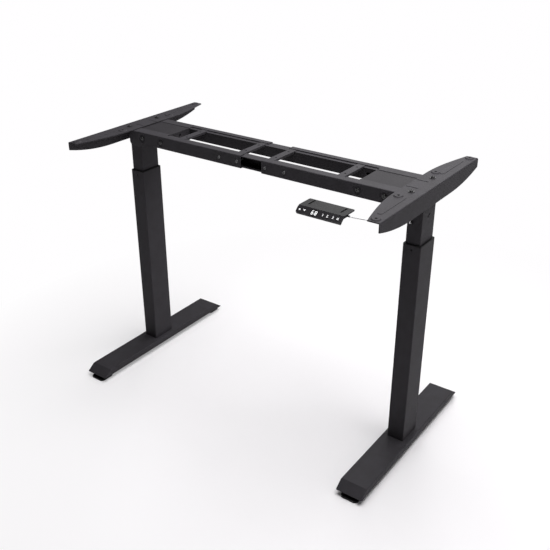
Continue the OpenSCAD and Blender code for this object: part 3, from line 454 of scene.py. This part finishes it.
def outwards(sign):
    """Turn that takes Z to the positive or negative Y axis."""
    return np.array([[1, 0, 0], [0, 0, sign], [0, -sign, 0]], float)


def corners(node):
    """Lowest and highest corner of a CAD node in millimetres."""
    low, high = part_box(node)
    return np.array(low) / MM, np.array(high) / MM


LOCK_SCREW = dict(head_d=8.9, head_h=3, shank_d=6, length=28.5, key=4, dome=2.2)
HEAD_BOLT = dict(head_d=11.9, head_h=3.5, shank_d=8, length=42, key=5, dome=2.4, pitch=1.25)
BRACKET_SCREW = dict(head_d=10, head_h=3.5, shank_d=6, length=18, key=4, dome=2.4)
BOLT_NUT = dict(inner_d=8, outer_d=11, low=36.45, high=40.45, hexagon=1)
WASHER_D, WASHER_HOLE, WASHER_T = 16, 6.4, 1.5
FOOT_HEAD_D, FOOT_HEAD_H, FOOT_SHANK_D, FOOT_KEY, FOOT_DOME = 10, 3.0, 6, 4, 2.0
# From the corners of the CAD's screws to their axes: half of its heads' diameters
LOCK_IN, BOLT_IN = 4.5, 6
# Outside of the side rail and floor of its dimples, both from the middle of the bar, and a gap
# under the heads, so that no faces coincide
RAIL_FACE, DIMPLE_FACE, SEAT_GAP = 76.0, 73.5, 0.05
BOTH, UPSIDE_DOWN = (-1, 1), np.diag([1, -1, -1])

for side in SIDES:
    head, leg = side + "_head", side + "_leg"

    low, high = corners(side + "_lock_screws")
    mid = (low[2] + high[2]) / 2
    parts = [placed(screw(**LOCK_SCREW), outwards(s), (x, s * (RAIL_FACE + SEAT_GAP), mid))
             for x in (low[0] + LOCK_IN, high[0] - LOCK_IN) for s in BOTH]
    piece(side + "_lock_screw_set", parts, lock_steel, head,
          [side + "_lock_screws"])

    low, high = corners(side + "_head_bolts")
    mid = (low[2] + high[2]) / 2
    parts = []
    for x in (low[0] + BOLT_IN, high[0] - BOLT_IN):
        for s in BOTH:
            seat = (x, s * (DIMPLE_FACE + SEAT_GAP), mid)
            parts += [placed(screw(**HEAD_BOLT), outwards(s), seat),
                      placed(ring(**BOLT_NUT), outwards(s), (x, 0, mid))]
    piece(side + "_head_bolt_set", parts, finishes["black_screws"], head,
          [side + "_head_bolts"])

    low, high = corners(side + "_bracket_screws")
    x, seat = (low[0] + high[0]) / 2, high[2] - BRACKET_SCREW["head_h"]
    parts = []
    for y in (low[1] + WASHER_D / 2, high[1] - WASHER_D / 2):
        washer = ring(WASHER_HOLE, WASHER_D, seat - WASHER_T, seat)
        parts += [placed(washer, shift=(x, y, 0)),
                  placed(screw(**BRACKET_SCREW), shift=(x, y, seat))]
    piece(side + "_bracket_screw_set", parts, black_zinc, head,
          [side + "_bracket_screws"])

    low, high = corners(side + "_foot_screws")
    seat, reach = low[2] + FOOT_HEAD_H, high[2] - low[2] - FOOT_HEAD_H
    foot_screw = screw(FOOT_HEAD_D, FOOT_HEAD_H, FOOT_SHANK_D, reach, FOOT_KEY, FOOT_DOME)
    parts = [placed(foot_screw, UPSIDE_DOWN, (x, y, seat))
             for x in (low[0] + FOOT_HEAD_D / 2, high[0] - FOOT_HEAD_D / 2)
             for y in (low[1] + FOOT_HEAD_D / 2, high[1] - FOOT_HEAD_D / 2)]
    piece(side + "_foot_screw_set", parts, finishes["zinc_screws"], leg,
          [side + "_foot_screws"])


# Weld beads

def weld(path, radius, pitch=2.4):
    """Weld bead: a tube whose radius is r (1 + 0.1 |sin(pi l / pitch)|) at the length l along
    its path, so it swells by a tenth at each ripple."""
    gone = np.concatenate([[0], np.cumsum(np.linalg.norm(np.diff(path, axis=0), axis=1))])
    return tube(path, radius * (1 + 0.1 * np.abs(np.sin(np.pi * gone / pitch))), around=10)


def straight(start, end, step=0.8):
    """Points from start to end, about a step apart."""
    start, end = np.asarray(start, float), np.asarray(end, float)
    t = np.linspace(0, 1, max(int(np.linalg.norm(end - start) / step), 2))[:, None]
    return start + (end - start) * t


# Beads where the inner tubes meet the saddles: from the tube's axis to its faces, half the
# length of the beads along them, their radius, and their middle's height
TUBE_HALF_X, TUBE_HALF_Y, BEAD_HALF_X, BEAD_HALF_Y = 20.8, 36.3, 14, 27
TUBE_BEAD, BEAD_Z = 1.8, BAR_UNDER - 0.3
for side, sign in SIDES.items():
    parts = []
    for s in BOTH:
        x, y = sign * COLUMN_X, s * TUBE_HALF_Y
        along_x = straight((x - BEAD_HALF_X, y, BEAD_Z), (x + BEAD_HALF_X, y, BEAD_Z))
        x += s * TUBE_HALF_X
        along_y = straight((x, -BEAD_HALF_Y, BEAD_Z), (x, BEAD_HALF_Y, BEAD_Z))
        parts += [weld(along_x, TUBE_BEAD), weld(along_y, TUBE_BEAD)]
    piece(side + "_tube_weld", parts, finishes["black_steel"], side + "_head")

# Beads along both sides of each rung's ends, from one distance from the middle to the other
RUNG_X, RUNG_HALF, RUNG_Z = (-269, -51, 51, 269), 11, 782.5
RUNG_FROM, RUNG_TO, RUNG_BEAD, RUNG_RIPPLE = 45.8, 52.6, 1.0, 1.8
parts = []
for middle in RUNG_X:
    for s in BOTH:
        for x in (middle - RUNG_HALF, middle + RUNG_HALF):
            bead = straight((x, s * RUNG_FROM, RUNG_Z), (x, s * RUNG_TO, RUNG_Z))
            parts.append(weld(bead, RUNG_BEAD, RUNG_RIPPLE))
piece("rung_welds", parts, finishes["black_steel"], "middle")


# Handset legends and digits, drawn on the sloping face

FACE_SLOPE, FACE_EDGE, FACE_MIDDLE = 44, (357, -283.6, 788), 9.7
FACE = (Matrix.Translation(FACE_EDGE) @ Matrix.Rotation(math.radians(FACE_SLOPE), 4, "X")
        @ Matrix.Translation((0, -FACE_MIDDLE, 0)))
BUTTON_TOP, LENS_TOP = 0.7, -0.3  # heights over the face
SUNK, PRINT, LIT = 0.02, 0.06, 0.05  # how deep marks go in, and how far they stand out
BUTTONS = {"button_up": -52, "button_down": -39, "button_1": 10.4, "button_2": 22.6,
           "button_3": 37, "button_memory": 49.7}


def bar(length, width):
    """Display segment along X: a bar with pointed ends."""
    a, b = length / 2, width / 2
    return np.array([(-a, 0), (-a + b, -b), (a - b, -b), (a, 0), (a - b, b), (-a + b, b)])


def digit(lit, height, width, stroke, slant):
    """Seven-segment digit: bars on the sides of two squares, leaning by the slant."""
    half = height / 2
    across, up = bar(width, stroke), bar(half, stroke)[:, ::-1] * [-1, 1]
    spots = {"top": (across, 0, half), "middle": (across, 0, 0), "bottom": (across, 0, -half),
             "upper_left": (up, -width / 2, half / 2), "upper_right": (up, width / 2, half / 2),
             "lower_left": (up, -width / 2, -half / 2), "lower_right": (up, width / 2, -half / 2)}
    shapes = [spots[name][0] + spots[name][1:] for name in lit]
    return [s + np.c_[s[:, 1] * slant, 0 * s[:, 1]] for s in shapes]


def legend(text, height):
    """Button number as a flat mesh of the given height, centred, its strokes a little bold."""
    curve = bpy.data.curves.new("number_" + text, "FONT")
    curve.body, curve.offset = text, 0.02
    shape = bpy.data.objects.new("number_" + text, curve)
    bpy.context.scene.collection.objects.link(shape)
    bpy.context.view_layer.update()
    final = bpy.context.evaluated_depsgraph_get()
    mesh = bpy.data.meshes.new_from_object(shape.evaluated_get(final))
    points = np.array([v.co for v in mesh.vertices])
    faces = [list(p.vertices) for p in mesh.polygons]
    bpy.data.objects.remove(shape)
    bpy.data.meshes.remove(mesh)
    low, high = points.min(0), points.max(0)
    points = (points - (low + high) / 2) * height / (high[1] - low[1])
    return points, faces


def raised(part, low, high):
    """A flat mesh given a thickness: its top, its underside and a wall round each open edge."""
    points, faces = part
    count = len(points)
    both = np.concatenate([points * [1, 1, 0] + [0, 0, low], points * [1, 1, 0] + [0, 0, high]])
    pairs = [(f[i - 1], f[i]) for f in faces for i in range(len(f))]
    known = set(pairs)
    rim = [[a, b, b + count, a + count] for a, b in pairs if (b, a) not in known]
    return both, [f[::-1] for f in faces] + [[i + count for i in f] for f in faces] + rim


NUMBER_HEIGHT, SIGN_SCALE, MEMORY_SCALE = 6.4, 0.85, 0.8
ARROW = np.array([(-3.6, -2.2), (3.6, -2.2), (0, 2.9)])
CHEVRON = np.array([(-3.9, 2.0), (-1.6, 2.6), (0, 0.6), (1.6, 2.6), (3.9, 2.0), (0, -2.9)])
MEMORY = [np.array([(-3, -3.1), (3, -3.1), (3, -1.2), (-3, -1.2)]),
          np.array([(-3, -0.6), (-1.6, -0.6), (-1.6, 3.1), (-3, 3.1)]),
          np.array([(1.6, -0.6), (3, -0.6), (3, 2.2), (2.1, 3.1), (1.6, 3.1)]),
          np.array([(-1.0, 0.9), (1.0, 0.9), (1.0, 3.1), (-1.0, 3.1)])]
layer = (BUTTON_TOP - SUNK, BUTTON_TOP + PRINT)
marks = {"button_up": [prism(SIGN_SCALE * ARROW, *layer)],
         "button_down": [prism(SIGN_SCALE * CHEVRON[::-1], *layer)],
         "button_memory": [prism(MEMORY_SCALE * block, *layer) for block in MEMORY]}
for number in "123":
    marks["button_" + number] = [raised(legend(number, NUMBER_HEIGHT), *layer)]
bodies = frame["record"]["behaviour"]["bodies"]
for button, x in BUTTONS.items():
    body = next(name for name, members in bodies.items() if button in members)
    parts = [placed(placed(part, shift=(x, 0, 0)), matrix=FACE) for part in marks[button]]
    piece(button + "_legend", parts, legend_white_painted_glow, body, sharp=30)

SIX = ("top", "middle", "bottom", "upper_left", "lower_left", "lower_right")
EIGHT = SIX + ("upper_right",)
DIGIT_HEIGHT, DIGIT_WIDTH, STROKE, SLANT = 9.2, 4.3, 1.3, 0.14
parts = []
for lit, x in ((SIX, -17.7), (EIGHT, -8.9)):
    for shape in digit(lit, DIGIT_HEIGHT, DIGIT_WIDTH, STROKE, SLANT):
        parts.append(placed(prism(shape + [x, 0], LENS_TOP - SUNK, LENS_TOP + LIT), matrix=FACE))
piece("display_digits", parts, digit_white, "right_head", sharp=30)


# Floor, backdrop and studio light

def seen_by(tree, *kinds):
    """One for a ray of these kinds, such as Camera, and zero for the others."""
    path, total = add(tree, "LightPath"), 0.0
    for kind in kinds:
        total = add(tree, "Math", {0: total, 1: path.outputs[f"Is {kind} Ray"]}, operation="ADD",
                    use_clamp=True)
    return total


WHITE = linear("#fffeff")


def studio_floor():
    """Pale floor: it takes the object's shadow, and fades into the white backdrop from half a
    metre to one and a half metres round the object."""
    half, centre, fade_from, fade_to = 30, (0.35, 0, 0), 0.5, 1.5
    mesh = bpy.data.meshes.new("studio_floor")
    square = [(-half, -half, 0), (half, -half, 0), (half, half, 0), (-half, half, 0)]
    mesh.from_pydata(square, [], [(0, 1, 2, 3)])
    floor = bpy.data.objects.new("studio_floor", mesh)
    bpy.context.scene.collection.objects.link(floor)
    material, tree = blank("pale_studio_floor")
    place = add(tree, "TexCoord").outputs["Object"]
    offset = add(tree, "VectorMath", {0: place, 1: centre}, operation="SUBTRACT")
    away = add(tree, "VectorMath", {0: offset}, operation="LENGTH").outputs["Value"]
    far = spread(tree, away, 0, 1, fade_from, fade_to)
    seen = seen_by(tree, "Camera", "Glossy", "Transmission")
    fade = add(tree, "Math", {0: seen, 1: far}, operation="MULTIPLY")
    paper = add(tree, "BsdfDiffuse", {"Color": linear("#f3f1f3")})
    white = add(tree, "Emission", {"Color": WHITE, "Strength": 1.0})
    mix = add(tree, "MixShader", {0: fade, 1: paper, 2: white})
    add(tree, "OutputMaterial", {"Surface": mix})
    mesh.materials.append(material)


def lamp(name, side, watts, spot, aim):
    """Square soft box at a spot, facing an aim, all in metres."""
    light = bpy.data.lights.new(name, "AREA")
    light.shape, light.size, light.energy = "SQUARE", side, watts
    made = bpy.data.objects.new(name, light)
    bpy.context.scene.collection.objects.link(made)
    turn = (Vector(aim) - Vector(spot)).to_track_quat("-Z", "Y").to_matrix().to_4x4()
    made.matrix_world = Matrix.Translation(spot) @ turn


studio_floor()
lamp("overhead_soft_box", 2.2, 94, (0.4, 0.2, 2.7), (0, 0, 0.5))
lamp("right_soft_box", 2.6, 17, (3.4, 0.2, 1.7), (0, 0, 0.5))
lamp("back_soft_box", 2.4, 50, (-1.2, 3.6, 2.2), (0, 0, 0.7))

world = bpy.data.worlds.new("studio_backdrop")
bpy.context.scene.world = world
world.use_nodes = True
tree = world.node_tree
tree.nodes.clear()
seen = seen_by(tree, "Camera", "Transmission")
room = add(tree, "Background", {"Color": linear("#ffffff"), "Strength": 0.03})
backdrop = add(tree, "Background", {"Color": WHITE, "Strength": 1.0})
add(tree, "OutputWorld", {"Surface": add(tree, "MixShader", {0: seen, 1: room, 2: backdrop})})
bpy.context.scene.view_settings.view_transform = "Standard"
